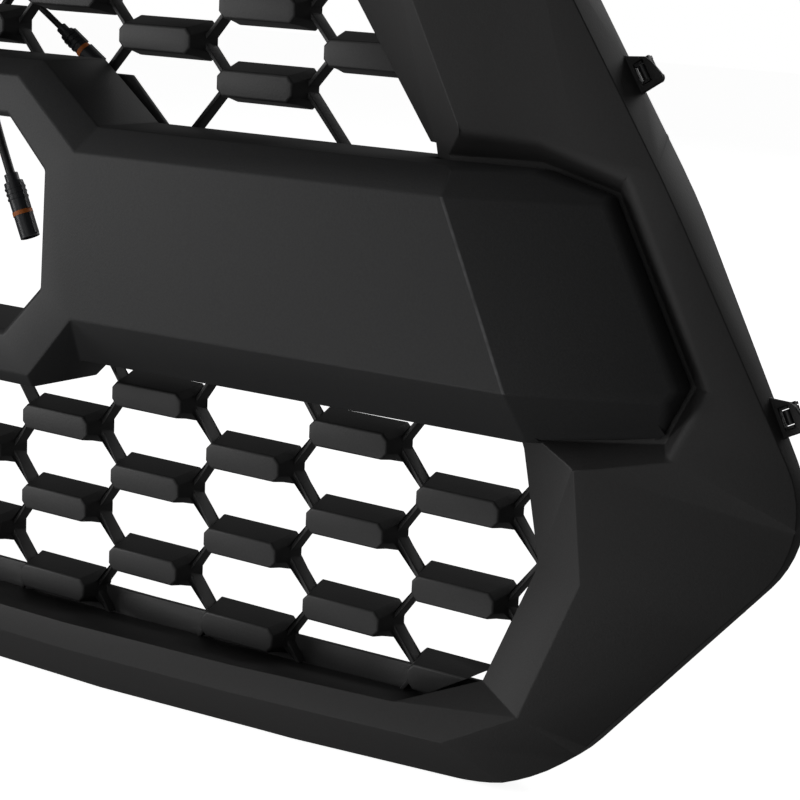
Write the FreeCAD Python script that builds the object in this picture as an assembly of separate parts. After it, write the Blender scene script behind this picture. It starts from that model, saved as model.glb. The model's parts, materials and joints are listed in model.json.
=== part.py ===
import FreeCAD, Part
import math
import os

# Front grille of a pickup truck, millimetres. +X to the right when facing the front, +Y towards
# the engine, +Z up. The sketches below are drawn about the middle of the lower honeycomb's top
# row; every piece is then moved so that the origin is the middle of the top fixing line.

V = FreeCAD.Vector

# ---- overall sizes ----
topZ = 272.0                 # top face of the fixing flange
bottomZ = -158.0             # underside of the lower bar
topHalfWidth = 348.0         # outer corner at the top
waistHalfWidth = 434.0       # slight kink in the outer edge
waistZ = 139.0
wideHalfWidth = 509.0        # widest corner, before rounding
wideZ = -8.0
footHalfWidth = 379.0        # outer corner at the bottom
wall = 2.8                   # moulding wall of surround and crossbar

# ---- plan sweep (the grille bows back towards its ends) ----
frameSweepR = 2500.0
meshSweepR = 6500.0
frameFrontY = -35.0          # ridge of the surround at the middle
meshFrontY = 0.0             # honeycomb block faces at the middle
meshDepth = 18.0             # block face to the back of the honeycomb
flangeThick = 3.0            # honeycomb edge flange
meshSeatY = meshFrontY + meshDepth - flangeThick

# ---- surround section ----
ridgeInset = 17.0            # top bar: outer edge to ridge
topRidgeZ = topZ - ridgeInset
upperTopZ = 246.0            # upper opening, top edge
upperSlopeX = 247.0          # upper opening, top corner
upperFootX = 308.0           # upper opening, bottom corner
upperFootZ = 147.0
legRidge = 38.0              # opening edge to ridge on the upper legs
lowerHeadX = 361.0           # lower opening, top corner
lowerHeadZ = 12.0
lowerWideX = 372.0
lowerWideZ = -44.0
lowerCornerX = 350.0
lowerCornerZ = -105.0
lowerFootX = 322.0
lowerBarTopZ = -121.0        # front top edge of the lower bar
lowerBarFace = 15.0          # height of the lower bar's front face
lowerBarDraft = 7.0          # its top wall falls this much to the rear
legBevelDepth = 20.0         # inner bevel of the legs
legBevelHead = 0.6           # share of it left at the top corner
legBevelFoot = 0.7           # and at the foot corner
lowerLegRidge = 32.0
barStations = (0.33, 0.67)   # shares of the half width where the top and lower bars are drawn
ridgeTopOut = 4.0
ridgeTopFall = 6.0
ridgeWaistIn = 8.0
ridgeHeadOut = 4.0
cornerIn = 36.0              # from the widest corner to the station below it
cornerDown = 41.0
footOut = 25.0               # from the foot corner to the station above it
footUp = 29.0
ridgeCornerOut = 27.0
ridgeCornerDown = 10.0
ridgeFootOut = 16.0
openingFootIn = 12.0
edgeFallFoot = 2.0           # fall of the opening's edge at its foot
edgeSpread = 6.0             # the front is drawn past the outline, then trimmed to it
edgeSpreadFall = 1.08
surroundBackY = 60.0         # walls are drawn back to here, then cut at the honeycomb's seat
ribShare = 0.35              # half a rib's thickness, as a share of the wall
barRibSpots = (-300.0, -170.0, -50.0, 50.0, 170.0, 300.0)
legRibSpots = (-95.0, -50.0, -5.0, 165.0, 190.0)
upperRibStart = 265.0
lowerRibStart = 340.0

# ---- recess that takes a crossbar end ----
recessDepth = 12.0
recessTopZ = 148.0
recessFootZ = 14.0           # bottom wall of the recess, at y = 0
recessHeadX = 367.0
recessShoulderX = 405.0
recessShoulderZ = 139.0
recessWideX = 447.0
recessWideZ = 54.0
recessToeX = 434.0
recessInnerX = 285.0
recessReach = 24.0           # the recess walls open forwards over this much
recessFlare = 0.8            # and as a share of the wall where the hollow follows them
endGap = 2.0                 # crossbar end to the edge of the recess floor
seatGap = 1.0                # crossbar rim to the recess floor

# ---- crossbar ----
barFaceY = -48.0
barFaceTopZ = 133.5
barFaceBottomZ = 48.0
barTopZ = 146.5
barBottomZ = 20.0
barBevel = 12.0              # depth of the upper bevel
barLowerBevel = 28.0
barBackY = 8.0
barRootX = 123.0             # bar face meets the emblem ring
barSlope = 0.041             # the face falls back towards the ends
creaseTopX = 340.0
creaseFootX = 378.0
endSlope = 0.57              # end facet falls back this much per mm
ringTopZ = 177.0
ringFaceTopZ = 169.0
ringTopX = 83.0
ringFootZ = 6.0
ringFaceFootZ = 14.0
ringFootX = 92.0
holeHalfWidth = 100.0
holeTopZ = 147.0
holeBottomZ = 36.0
holeChamferX = 25.0
holeUpperZ = 122.0
holeLowerZ = 61.0
holeRim = 3.0
holeFootIn = 2.0
holeFootChamferX = 27.0
barEndX = 480.0              # the bar is drawn to here, then trimmed to the recess
barDrawBackY = 90.0
ringRimDeep = 8.0            # depth of the emblem ring's foot bevel
rimOut = {"ringTop": 7.0, "rootTop": 5.0, "crease": -3.0, "rootFoot": -20.0, "ringFoot": -4.0}
rimShift = 6.0               # the hollow's rim moves inwards up to this far past the root
ringBackOut = 3.0            # draft of the emblem ring's side walls
ringBackReach = 10.0
barMiddleZ = 80.0            # parts the bar's upper rim from its lower
barRibX = (-330.0, -240.0, -150.0, 150.0, 240.0, 330.0)
barRibZ = (72.0, 108.0)
barRibFootZ = 15.0
barRibHeadZ = 150.0
barRibInnerX = 104.0
barRibOuterX = 385.0

# ---- honeycomb ----
columnPitch = 65.3
lowerRowPitch = 23.0
upperRowPitch = 19.5
upperFirstZ = 170.8
blockWidth = 49.0
blockHeight = 13.8
blockChamfer = 3.6
blockEdge = 0.9              # soft front edge
blockCrease = 8.0            # depth of the crease on the block's sides
blockCreaseFlare = 1.1
blockFlare = 3.6
blockWall = 2.0
blockFrontWall = 2.6
blockInnerChamfer = 2.0
blockEdgeChamfer = 0.5       # share of the soft edge taken off the corner chamfers
strutFrontY = 10.0           # behind the block faces
strutBackY = 17.4            # a little in front of the flange's back
strutWidth = 2.2
strutDraft = 1.0             # wider by this at its back
strutInset = 2.0             # struts end this far inside the flange's outer edge
strutReach = 24.0            # strut joint from a block's middle
strutRunOn = 0.6             # a strut past the last row runs on by this share of its length
flangeWidth = 20.0
flangeLap = 1.0              # clear of the opening's edge
openingGap = 1.0             # struts to the surround's walls
blockGap = 3.0               # blocks to the surround's walls
boreTrim = 0.02              # the second cut through a lamp's sleeve stays off its walls
lowerBandZ = -114.0          # top edge of the band behind the last row

# ---- fixings ----
flangeBackY = 44.0
fixLineY = 31.0
fixHoleR = 3.5
fixInnerX = 90.0
fixOuterX = 250.0
flangeHalfLength = 290.0
topFlangeThick = 3.0
flangeAhead = 22.0           # flange in front of the honeycomb's seat
bossR = 4.2
screwR = 1.9
screwHoleR = 2.0
screwPassR = 2.4
screwHeadR = 4.6
screwHeadHigh = 2.4
screwHeadClear = 0.5
screwTipR = 0.6
screwTipLength = 1.6
driveHalf = 2.2              # cross recess, half its span
driveSlot = 0.45             # and half its slot
driveDeep = 1.3
screwLength = 11.0

origin = V(0.0, fixLineY, topZ)

# ---- reaches of the cutting bodies, past every surface they cut ----
ahead = 120.0
behindAll = 120.0
drumLength = 1200.0
tiny = 1e-6                  # shorter than any real edge
flat = 1e-4                  # corners this near a plane make one face
crumb = 1.0                  # cubic millimetres; smaller offcuts are dropped


# ---- helpers ----
def frameY(x, behind=0.0):
    return frameFrontY + behind + frameSweepR - math.sqrt(frameSweepR ** 2 - x * x)


def meshY(x, behind=0.0):
    return meshFrontY + behind + meshSweepR - math.sqrt(meshSweepR ** 2 - x * x)


def mirrored(points):
    """Right half (x, z), top to bottom, to a whole closed loop."""
    left = [(-x, z) for x, z in reversed(points)]
    return points + left


def grown(loop, distance):
    """Move every edge of a loop outwards; the loop may run either way round."""
    count = len(loop)
    area = sum(loop[i][0] * loop[(i + 1) % count][1] - loop[(i + 1) % count][0] * loop[i][1]
               for i in range(count))
    side = 1.0 if area > 0 else -1.0
    result = []
    for i in range(count):
        ax, az = loop[i - 1]
        bx, bz = loop[i]
        cx, cz = loop[(i + 1) % count]
        n1 = unitNormal(bx - ax, bz - az, side)
        n2 = unitNormal(cx - bx, cz - bz, side)
        scale = distance / (1.0 + n1[0] * n2[0] + n1[1] * n2[1])
        result.append((bx + (n1[0] + n2[0]) * scale, bz + (n1[1] + n2[1]) * scale))
    return result


def unitNormal(dx, dz, side):
    length = math.hypot(dx, dz)
    return side * dz / length, -side * dx / length


def atY(loop, y):
    return [V(x, y, z) for x, z in loop]


def faceOf(points):
    return Part.Face(Part.makePolygon(list(points) + [points[0]]))


def quadFaces(ringA, ringB):
    faces = []
    count = len(ringA)
    for i in range(count):
        j = (i + 1) % count
        corners = (ringA[i], ringA[j], ringB[j], ringB[i])
        faces += splitQuad(*corners)
    return faces


def splitQuad(a, b, c, d):
    """One flat face where the four corners lie in a plane, two triangles otherwise."""
    normal = (b - a).cross(d - a)
    if normal.Length < tiny:
        return [faceOf((b, c, d))] if (c - b).cross(d - b).Length > tiny else []
    if (c - a).cross(d - a).Length < tiny or (b - a).cross(c - a).Length < tiny:
        return [faceOf((a, b, d))]
    off = abs((c - a).dot(normal)) / normal.Length
    if off < flat:
        return [faceOf((a, b, c, d))]
    return [faceOf((a, b, c)), faceOf((a, c, d))]


def solidOf(faces):
    solid = Part.Solid(Part.makeShell(faces))
    if solid.Volume < 0:
        solid.reverse()
    return solid


def ringSolid(rings):
    """Closed solid through several loops, flat at both ends."""
    faces = [faceOf(rings[0]), faceOf(rings[-1])]
    for first, second in zip(rings, rings[1:]):
        faces += quadFaces(first, second)
    return solidOf(faces)


def tubeSolid(rings):
    """Closed frame whose section runs through all the loops and back to the first."""
    faces = []
    for i, ring in enumerate(rings):
        faces += quadFaces(ring, rings[(i + 1) % len(rings)])
    return solidOf(faces)


def prism(loop, y1, y2):
    return faceOf(atY(loop, y1)).extrude(V(0, y2 - y1, 0))


def roundedPrism(points, y1, y2):
    """Prism of a loop of (x, z, corner radius), with true arcs."""
    edges = []
    count = len(points)
    ends = []
    for i in range(count):
        ends.append(cornerArc(points[i - 1], points[i], points[(i + 1) % count]))
    for i in range(count):
        start, middle, stop = ends[i]
        if (stop - start).Length > tiny:
            edges.append(Part.Arc(start, middle, stop).toShape())
        following = ends[(i + 1) % count][0]
        edges.append(Part.LineSegment(stop, following).toShape())
    face = Part.Face(Part.Wire(edges))
    face.translate(V(0, y1, 0))
    return face.extrude(V(0, y2 - y1, 0))


def cornerArc(before, corner, after):
    p = V(corner[0], 0, corner[1])
    if corner[2] == 0:
        return p, p, p
    a = (V(before[0], 0, before[1]) - p).normalize()
    b = (V(after[0], 0, after[1]) - p).normalize()
    half = a.getAngle(b) / 2.0
    reach = corner[2] / math.tan(half)
    centre = p + (a + b).normalize() * (corner[2] / math.sin(half))
    middle = centre + (p - centre).normalize() * corner[2]
    return p + a * reach, middle, p + b * reach


def sweepDrum(radius, frontY):
    """Everything behind a swept front surface."""
    return Part.makeCylinder(radius, drumLength, V(0, frontY + radius, -drumLength / 2.0), V(0, 0, 1))


def box(x1, x2, y1, y2, z1, z2):
    return Part.makeBox(x2 - x1, y2 - y1, z2 - z1, V(x1, y1, z1))


def rod(x, z, radius, y1, y2):
    return Part.makeCylinder(radius, y2 - y1, V(x, y1, z), V(0, 1, 0))


def spotFace(x, z, seatY):
    """Flat seat cut behind a screw head."""
    return rod(x, z, screwHeadR + screwHeadClear, seatY, seatY + screwHeadHigh * 2.0)


def bothSides(spots):
    return spots + [(-x, z) for x, z in spots if abs(x) > tiny]


def fuse(shapes):
    result = shapes[0].multiFuse(shapes[1:]) if len(shapes) > 1 else shapes[0]
    return result.removeSplitter()


def write(name, shape):
    moved = shape.copy()
    moved.translate(origin * -1.0)
    moved.exportStep(os.path.join("parts", name + ".step"))
    print(name, len(moved.Solids), "solid(s)", round(moved.Volume / 1000.0, 1), "cm3", moved.isValid())


# ---- surround ----
outline = [
    (topHalfWidth, topZ, 14.0),
    (waistHalfWidth, waistZ, 300.0),
    (wideHalfWidth, wideZ, 55.0),
    (footHalfWidth, bottomZ, 90.0),
]
outerDrop = {"top": 9.0, "upper": 2.0, "wide": 9.0, "foot": 15.0, "bottom": 15.0}


def frameStations():
    """Outer edge, ridge and inner edge of the surround, right half from top to bottom.

    Each entry: outer (x, z), fall of the outer edge, ridge (x, z), inner (x, z), its fall.
    """
    ridgeTopX = upperSlopeX + legRidge + ridgeTopOut
    rows = []
    for share in barStations:
        rows.append(((topHalfWidth * share, topZ), outerDrop["top"],
                     (ridgeTopX * share, topRidgeZ), (upperSlopeX * share, upperTopZ), 0.0))
    rows.append(((topHalfWidth, topZ), outerDrop["top"],
                 (ridgeTopX, topRidgeZ - ridgeTopFall), (upperSlopeX, upperTopZ),
                 legBevelDepth * legBevelHead))
    rows.append(((waistHalfWidth, waistZ), outerDrop["upper"],
                 (upperFootX + legRidge - ridgeWaistIn, upperFootZ), (upperFootX, upperFootZ), legBevelDepth))
    rows.append(((wideHalfWidth, wideZ), outerDrop["wide"],
                 (lowerHeadX + lowerLegRidge + ridgeHeadOut, lowerHeadZ), (lowerHeadX, lowerHeadZ),
                 legBevelDepth))
    rows.append(((wideHalfWidth - cornerIn, wideZ - cornerDown), outerDrop["wide"],
                 (lowerWideX + lowerLegRidge, lowerWideZ), (lowerWideX, lowerWideZ), legBevelDepth))
    rows.append(((footHalfWidth + footOut, bottomZ + footUp), outerDrop["foot"],
                 (lowerCornerX + ridgeCornerOut, lowerCornerZ - ridgeCornerDown),
                 (lowerCornerX, lowerCornerZ), legBevelDepth * legBevelFoot))
    faceFoot = lowerBarTopZ - lowerBarFace
    rows.append(((footHalfWidth, bottomZ), outerDrop["foot"],
                 (lowerFootX + ridgeFootOut, faceFoot), (lowerFootX - openingFootIn, lowerBarTopZ),
                 edgeFallFoot))
    for share in reversed(barStations):
        rows.append(((footHalfWidth * share, bottomZ), outerDrop["bottom"],
                     (lowerFootX * share, faceFoot), (lowerFootX * share, lowerBarTopZ), 0.0))
    return rows


def surroundBlank(inset):
    """Frame band without its recess; inset shrinks it to the hollow behind the wall."""
    rows = frameStations()
    outer = mirrored([row[0] for row in rows])
    ridge = mirrored([row[2] for row in rows])
    inner = mirrored([row[3] for row in rows])
    drops = [row[1] for row in rows]
    drops = drops + drops[::-1]
    falls = [row[4] for row in rows]
    falls = falls + falls[::-1]
    inner = grown(inner, inset)
    spread = grown(outer, edgeSpread)
    far = surroundBackY
    outerFront = [V(x, frameY(x, inset) + d * edgeSpreadFall, z) for (x, z), d in zip(spread, drops)]
    ridgeFront = [V(x, frameY(x, inset), z) for x, z in ridge]
    innerFront = [V(x, frameY(x, inset) + d, z) for (x, z), d in zip(inner, falls)]
    lowered = [(x, z - lowerBarDraft * 2.0 if z < lowerCornerZ - 1.0 else z) for x, z in inner]
    band = tubeSolid([atY(spread, far), outerFront, ridgeFront, innerFront, atY(lowered, far)])
    whole = outline + [(-x, z, r) for x, z, r in reversed(outline)]
    skin = roundedPrism(whole, -ahead, far)
    if inset:
        side = grown([(x, z) for x, z, r in whole], -inset)
        whole = [(x, z, max(r - inset, 1.0)) for (x, z), (_, _, r) in zip(side, whole)]
        skin = roundedPrism(whole, -ahead, far + 1.0)
    return band.common(skin)


def recessLoop():
    """Edge of the recess floor on the right, closed towards the middle."""
    return [(recessInnerX, recessTopZ), (recessHeadX, recessTopZ + 1.5),
            (recessShoulderX, recessShoulderZ), (recessWideX, recessWideZ),
            (recessToeX, recessFootZ + 12.0), (lowerHeadX + 20.0, recessFootZ + 6.0),
            (recessInnerX, recessFootZ + 6.0)]


def recessTool(expand):
    """Clears the recess down to its floor, with walls that open forwards."""
    floorLoop = grown(recessLoop(), expand * recessFlare)
    mouth = grown(recessLoop(), recessReach + expand * recessFlare)
    floorAt = [V(x, frameY(x, recessDepth), z) for x, z in floorLoop]
    mouthAt = [V(x, frameY(x0, recessDepth) - recessReach, z)
               for (x, z), (x0, _) in zip(mouth, floorLoop)]
    frontAt = atY(mouth, -ahead)
    backAt = atY(floorLoop, behindAll)
    tool = ringSolid([backAt, floorAt, mouthAt, frontAt])
    return tool.cut(sweepDrum(frameSweepR, frameFrontY + recessDepth + expand))


def mirrorX(shape):
    return shape.mirror(V(0, 0, 0), V(1, 0, 0))


def panInnerLoop():
    """Gap between the two recess floors, behind the crossbar."""
    right = [(upperFootX, upperFootZ + 6.0), (upperFootX, upperFootZ),
             (lowerHeadX, lowerHeadZ), (lowerHeadX, lowerHeadZ - 3.0)]
    return mirrored(right)


def legX(z):
    """Edge of the upper opening at a height."""
    share = (upperTopZ - z) / (upperTopZ - upperFootZ)
    return upperSlopeX + share * (upperFootX - upperSlopeX)


upperLegZ = (upperTopZ + upperFootZ) / 2.0 + 18.0
upperScrews = [(0.0, upperTopZ + 11.0), (130.0, upperTopZ + 11.0),
               (legX(upperLegZ) + 13.0, upperLegZ)]
upperBarScrews = [(205.0, barTopZ - 14.5), (262.0, barTopZ - 14.5)]
lowerScrews = [(lowerWideX + 11.0, lowerWideZ + 19.0), (lowerWideX + 7.0, lowerWideZ - 28.0),
               (lowerFootX + 15.0, lowerBarTopZ - 16.0), (210.0, lowerBarTopZ - 18.0),
               (70.0, lowerBarTopZ - 18.0)]
lowerBarScrews = [(140.0, barBottomZ + 13.0), (262.0, barBottomZ + 13.0)]
endScrews = [(recessHeadX - 15.0, recessTopZ - 30.0), (recessShoulderX - 15.0, recessShoulderZ - 33.0),
             (recessShoulderX - 7.0, recessWideZ + 6.0), (recessWideX - 27.0, recessWideZ + 6.0)]


def surroundBosses(spots, blank):
    bosses = [rod(x, z, bossR, -ahead, behindAll) for x, z in spots]
    return [boss.common(blank).cut(seatDrum()) for boss in bosses]


def seatDrum():
    """Everything behind the seat of the honeycomb flanges."""
    return sweepDrum(meshSweepR, meshSeatY)


def surround():
    blank = surroundBlank(0.0)
    hollow = surroundBlank(wall)
    recess = recessTool(0.0)
    keep = recessTool(wall)
    shell = blank.cut([recess, mirrorX(recess), seatDrum()])
    pocket = hollow.cut([keep, mirrorX(keep)])
    shell = shell.cut(pocket)
    gap = prism(panInnerLoop(), -ahead, behindAll)
    shell = shell.cut(gap)
    spots = bothSides(upperScrews + lowerScrews)
    bosses = surroundBosses(spots, blank)
    flange = topFlange()
    ears = [ear(tab) for tab in tabs] + [mirrorX(ear(tab)) for tab in tabs]
    shell = fuse([shell] + bosses + frameRibs(blank) + [flange] + ears)
    holes = [rod(x, z, screwHoleR, meshY(x, meshSeatY) - screwLength, behindAll) for x, z in spots]
    holes += [rod(x, z, screwPassR, -ahead, behindAll) for x, z in bothSides(endScrews)]
    holes += [spotFace(x, z, frameY(x, recessDepth + wall)) for x, z in bothSides(endScrews)]
    windows = [earWindow(tab) for tab in tabs] + [mirrorX(earWindow(tab)) for tab in tabs]
    return shell.cut(holes + windows)


def frameRibs(blank):
    """Cross ribs inside the hollow of the surround."""
    ribs = []
    half = wall * ribShare
    for x in barRibSpots:
        ribs.append(box(x - half, x + half, -ahead, behindAll, bottomZ, lowerBarTopZ))
        ribs.append(box(x - half, x + half, -ahead, behindAll, upperTopZ, topZ))
    for z in legRibSpots:
        for side in (-1.0, 1.0):
            start = upperRibStart if z > 0 else lowerRibStart
            low, high = sorted((side * start, side * wideHalfWidth))
            ribs.append(box(low, high, -ahead, behindAll, z - half, z + half))
    recess = recessTool(wall / 2.0)
    short = [rib.common(blank).cut([recess, mirrorX(recess), seatDrum()]) for rib in ribs]
    return [rib for rib in short if rib.Volume > crumb]


def topFlange():
    plate = box(-flangeHalfLength, flangeHalfLength, meshSeatY - flangeAhead, flangeBackY,
                topZ - topFlangeThick, topZ)
    holes = [Part.makeCylinder(fixHoleR, topFlangeThick * 3.0, V(x, fixLineY, topZ - topFlangeThick * 2.0),
                               V(0, 0, 1))
             for x in (-fixOuterX, -fixInnerX, fixInnerX, fixOuterX)]
    front = sweepDrum(frameSweepR, frameFrontY + outerDrop["top"] + wall)
    return plate.common(front).cut(holes)


# ---- side tabs, with a spring clip in the window of each ----
# Drawn with x out from the surround's edge and z up along it, then turned to the edge's slope.
tabThick = 2.4
tabReach = 13.8              # how far a tab stands out
tabHead = 3.0                # its outer top corner, along the edge
tabFoot = 10.7
tabHeadR = 6.0
tabFootR = 2.5
tabBend = 0.72               # share of its reach where the head's slope ends
tabRise = 0.69               # height gained along the slope, as a share of the reach
tabAhead = 5.0               # tab in front of the honeycomb's seat
tabs = [{"name": "upper", "z": 192.0}, {"name": "lower", "z": 45.0}]
windowWide = 5.4
windowHigh = 10.6
windowOut = 4.5              # window's middle from the surround's edge
windowDown = 2.2
clipGap = 0.3
clipPlate = 1.6
clipMargin = 0.8             # clip's plate to the surround's wall
pivotOut = 3.8               # window's middle to the tongue's pivot
pinR = 0.5
pinGap = 0.05
barrelR = 1.3
earR = 1.5
earThick = 1.4
earEdge = 0.4                # clip's plate past its ears
pivotBehind = 1.6            # clip plate to the pivot
barrelEnd = 0.4              # the barrel stands out past the leaf
tongueHalf = 3.5
tongueThick = 0.8
leafR = 2.1
leafDeep = 2.6               # pivot to the middle of the leaf's bow, forwards


def tabEdge(tab):
    """Outer edge of the surround at a tab's height, and its slope from upright in degrees."""
    ax, az, bx, bz = topHalfWidth, topZ, waistHalfWidth, waistZ
    if tab["z"] < waistZ:
        ax, az, bx, bz = waistHalfWidth, waistZ, wideHalfWidth, wideZ
    x = ax + (bx - ax) * (az - tab["z"]) / (az - bz)
    return x, math.degrees(math.atan2(bx - ax, az - bz))


def onTab(tab, shape):
    """Move a shape drawn at the origin to its tab on the right-hand edge."""
    x, slope = tabEdge(tab)
    moved = shape.copy()
    moved.rotate(V(0, 0, 0), V(0, 1, 0), -slope)
    moved.translate(V(x, meshY(x, meshSeatY) - tabAhead, tab["z"]))
    return moved


def ear(tab):
    loop = [(-tabReach / 2.0, tabHead + tabReach * tabRise, 0.0), (tabReach * tabBend, tabHead, tabHeadR),
            (tabReach, -tabFoot, tabFootR), (-tabReach / 2.0, -tabFoot, 0.0)]
    return onTab(tab, roundedPrism(loop, 0.0, tabThick))


def earWindow(tab):
    low = -windowDown - windowHigh / 2.0
    return onTab(tab, box(windowOut - windowWide / 2.0, windowOut + windowWide / 2.0, -tabThick,
                          tabThick * 2.0, low, low + windowHigh))


def clipBody(tab):
    """Nylon clip: a plate behind the tab, two lugs in the window and two ears for the tongue."""
    back = tabThick + clipPlate
    pivot = windowOut + pivotOut
    half = windowHigh / 2.0 - clipGap
    ringLow = tongueHalf + barrelEnd + clipGap
    plateHalf = ringLow + earThick + earEdge
    plate = box(clipMargin, pivot + earR, tabThick, back, -plateHalf, plateHalf)
    slotHalf = tongueHalf + clipGap
    slot = box(windowOut - leafR - clipGap * 2.0, windowOut + leafR + clipGap * 2.0, 0.0, back + 1.0,
               -slotHalf, slotHalf)
    pieces = [plate.cut(slot)]
    for side in (-1.0, 1.0):
        low, high = sorted((side * slotHalf, side * half))
        pieces.append(box(windowOut - leafR, windowOut + leafR, clipGap, tabThick, low, high))
        low = ringLow if side > 0 else -ringLow - earThick
        ring = Part.makeCylinder(earR, earThick, V(pivot, back + pivotBehind, low), V(0, 0, 1))
        foot = box(pivot - earR, pivot + earR, tabThick + clipPlate / 2.0, back + pivotBehind, low,
                   low + earThick)
        pieces.append(ring.fuse(foot))
    bore = Part.makeCylinder(pinR + pinGap, plateHalf * 2.0, V(pivot, back + pivotBehind, -plateHalf),
                             V(0, 0, 1))
    body = fuse(pieces).cut(bore)
    body.translate(V(0, 0, -windowDown))
    return onTab(tab, body)


def clipTongue(tab):
    """Sprung leaf: from its root behind the plate it bows forwards through the window."""
    pivot = windowOut + pivotOut
    y = tabThick + clipPlate + pivotBehind
    half = tongueHalf
    strip = tongueThick / 2.0
    barrelHalf = half + barrelEnd
    pinHalf = barrelHalf + clipGap + earThick
    barrel = Part.makeCylinder(barrelR, barrelHalf * 2.0, V(pivot, y, -barrelHalf), V(0, 0, 1))
    pin = Part.makeCylinder(pinR, pinHalf * 2.0, V(pivot, y, -pinHalf), V(0, 0, 1))
    inner = windowOut + leafR - tongueThick
    leg = box(inner, pivot, y - strip, y + strip, -half, half)
    drop = box(inner, windowOut + leafR, y - leafDeep, y + strip, -half, half)
    centre = V(windowOut, y - leafDeep, -half)
    ring = Part.makeCylinder(leafR, half * 2.0, centre, V(0, 0, 1))
    ring = ring.cut(Part.makeCylinder(leafR - tongueThick, half * 2.0, centre, V(0, 0, 1)))
    front = box(windowOut - leafR * 2.0, windowOut + leafR * 2.0, centre.y - leafR * 2.0, centre.y,
                -half, half)
    tongue = fuse([barrel, pin, leg, drop, ring.common(front)])
    tongue.translate(V(0, 0, -windowDown))
    return onTab(tab, tongue)


# ---- crossbar with its emblem ring ----
def barFace(x):
    return barFaceY + barSlope * max(abs(x) - barRootX, 0.0)


def crossbarBlank(inset):
    """Outer skin of the crossbar; inset shrinks it to the hollow behind the wall."""
    far = barEndX
    faceTop = barFaceTopZ - inset / 2.0
    faceFoot = barFaceBottomZ + inset / 2.0
    crestTop = V(creaseTopX, barFace(creaseTopX) + inset, faceTop)
    crestFoot = V(creaseFootX, barFace(creaseFootX) + inset, faceFoot)
    endTop = V(far, crestTop.y + endSlope * (far - crestTop.x), faceTop)
    endFoot = V(far, crestFoot.y + endSlope * (far - crestFoot.x), faceFoot)
    ringFace = barFaceY + inset
    front = [V(ringTopX, ringFace, ringFaceTopZ - inset / 2.0), V(barRootX, ringFace, faceTop),
             crestTop, endTop, endFoot, crestFoot, V(barRootX - 1.0, ringFace, faceFoot),
             V(ringFootX, ringFace, ringFaceFootZ + inset / 2.0)]
    rimZ = [ringTopZ, barTopZ, barTopZ, barTopZ, barBottomZ, barBottomZ, barBottomZ, ringFootZ]
    rimX = [ringTopX + rimOut["ringTop"], barRootX + rimOut["rootTop"], creaseTopX + rimOut["crease"],
            far, far, creaseFootX + rimOut["crease"], barRootX + rimOut["rootFoot"],
            ringFootX + rimOut["ringFoot"]]
    deep = [barBevel] * 4 + [barLowerBevel] * 3 + [ringRimDeep]
    rim = []
    for point, x, z, d in zip(front, rimX, rimZ, deep):
        inward = -inset if z > barMiddleZ else inset
        shift = -inset if x < barRootX + rimShift else 0.0
        rim.append(V(x + shift, point.y + d, z + inward))
    back = [V(p.x + (ringBackOut if p.x < barRootX + ringBackReach else 0.0), barDrawBackY, p.z)
            for p in rim]
    rings = []
    for ring in (front, rim, back):
        left = [V(-p.x, p.y, p.z) for p in reversed(ring)]
        rings.append(ring + left)
    faces = quadFaces(rings[0], rings[1]) + quadFaces(rings[1], rings[2]) + [faceOf(rings[2])]
    faces += frontFaces(rings[0])
    return solidOf(faces)


def frontFaces(f):
    """Middle ring face, the two bar faces and the two end facets."""
    last = len(f) - 1
    middle = [f[0], f[1], f[6], f[7], f[last - 7], f[last - 6], f[last - 1], f[last]]
    faces = [faceOf(middle)]
    faces += splitQuad(f[1], f[2], f[5], f[6])
    faces += splitQuad(f[2], f[3], f[4], f[5])
    faces += splitQuad(f[last - 1], f[last - 2], f[last - 5], f[last - 6])
    faces += splitQuad(f[last - 2], f[last - 3], f[last - 4], f[last - 5])
    return faces


def emblemHole(grow):
    right = [(holeHalfWidth - holeChamferX, holeTopZ), (holeHalfWidth, holeUpperZ),
             (holeHalfWidth - holeFootIn, holeLowerZ), (holeHalfWidth - holeFootChamferX, holeBottomZ)]
    return grown(mirrored(right), grow)


def endOutline(inset):
    """Crossbar outline at its end, inside the edge of the recess floor."""
    loop = grown(recessLoop(), -(endGap + inset))
    right = loop[1:6]
    return mirrored([(60.0, topZ)] + [(loop[1][0] - 30.0, topZ)] + right
                    + [(right[-1][0] - 40.0, -60.0), (60.0, -60.0)])


def crossbar():
    blank = crossbarBlank(0.0).common(prism(endOutline(0.0), -ahead, behindAll))
    hollow = crossbarBlank(wall).common(prism(endOutline(wall), -ahead, behindAll))
    hollow = hollow.cut(prism(emblemHole(wall), -ahead, behindAll))
    shell = blank.cut(hollow)
    shell = shell.cut(prism(emblemHole(0.0), -ahead, behindAll))
    rimTool = ringSolid([atY(emblemHole(0.0), barFaceY + holeRim),
                         atY(emblemHole(holeRim * 2.0), barFaceY - holeRim)])
    bosses = [rod(x, z, bossR, -ahead, behindAll).cut(seatDrum()) for x, z in
              bothSides(upperBarScrews + lowerBarScrews)]
    floor = sweepDrum(frameSweepR, frameFrontY + recessDepth)
    ends = [rod(x, z, bossR, -ahead, behindAll).cut(floor) for x, z in bothSides(endScrews)]
    inside = [boss.common(blank) for boss in bosses + ends]
    shell = fuse([shell] + barRibs(blank)).cut([rimTool, barBackDrum(), recessSeat()])
    shell = fuse([shell] + inside)
    holes = [rod(x, z, screwHoleR, meshY(x, meshSeatY) - screwLength, behindAll)
             for x, z in bothSides(upperBarScrews + lowerBarScrews)]
    holes += [rod(x, z, screwHoleR, frameY(x, recessDepth) - screwLength, behindAll)
              for x, z in bothSides(endScrews)]
    return shell.cut(holes)


def barBackDrum():
    between = box(-upperFootX, upperFootX, -ahead, behindAll, bottomZ, topZ)
    return sweepDrum(meshSweepR, barBackY).common(between)


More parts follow.
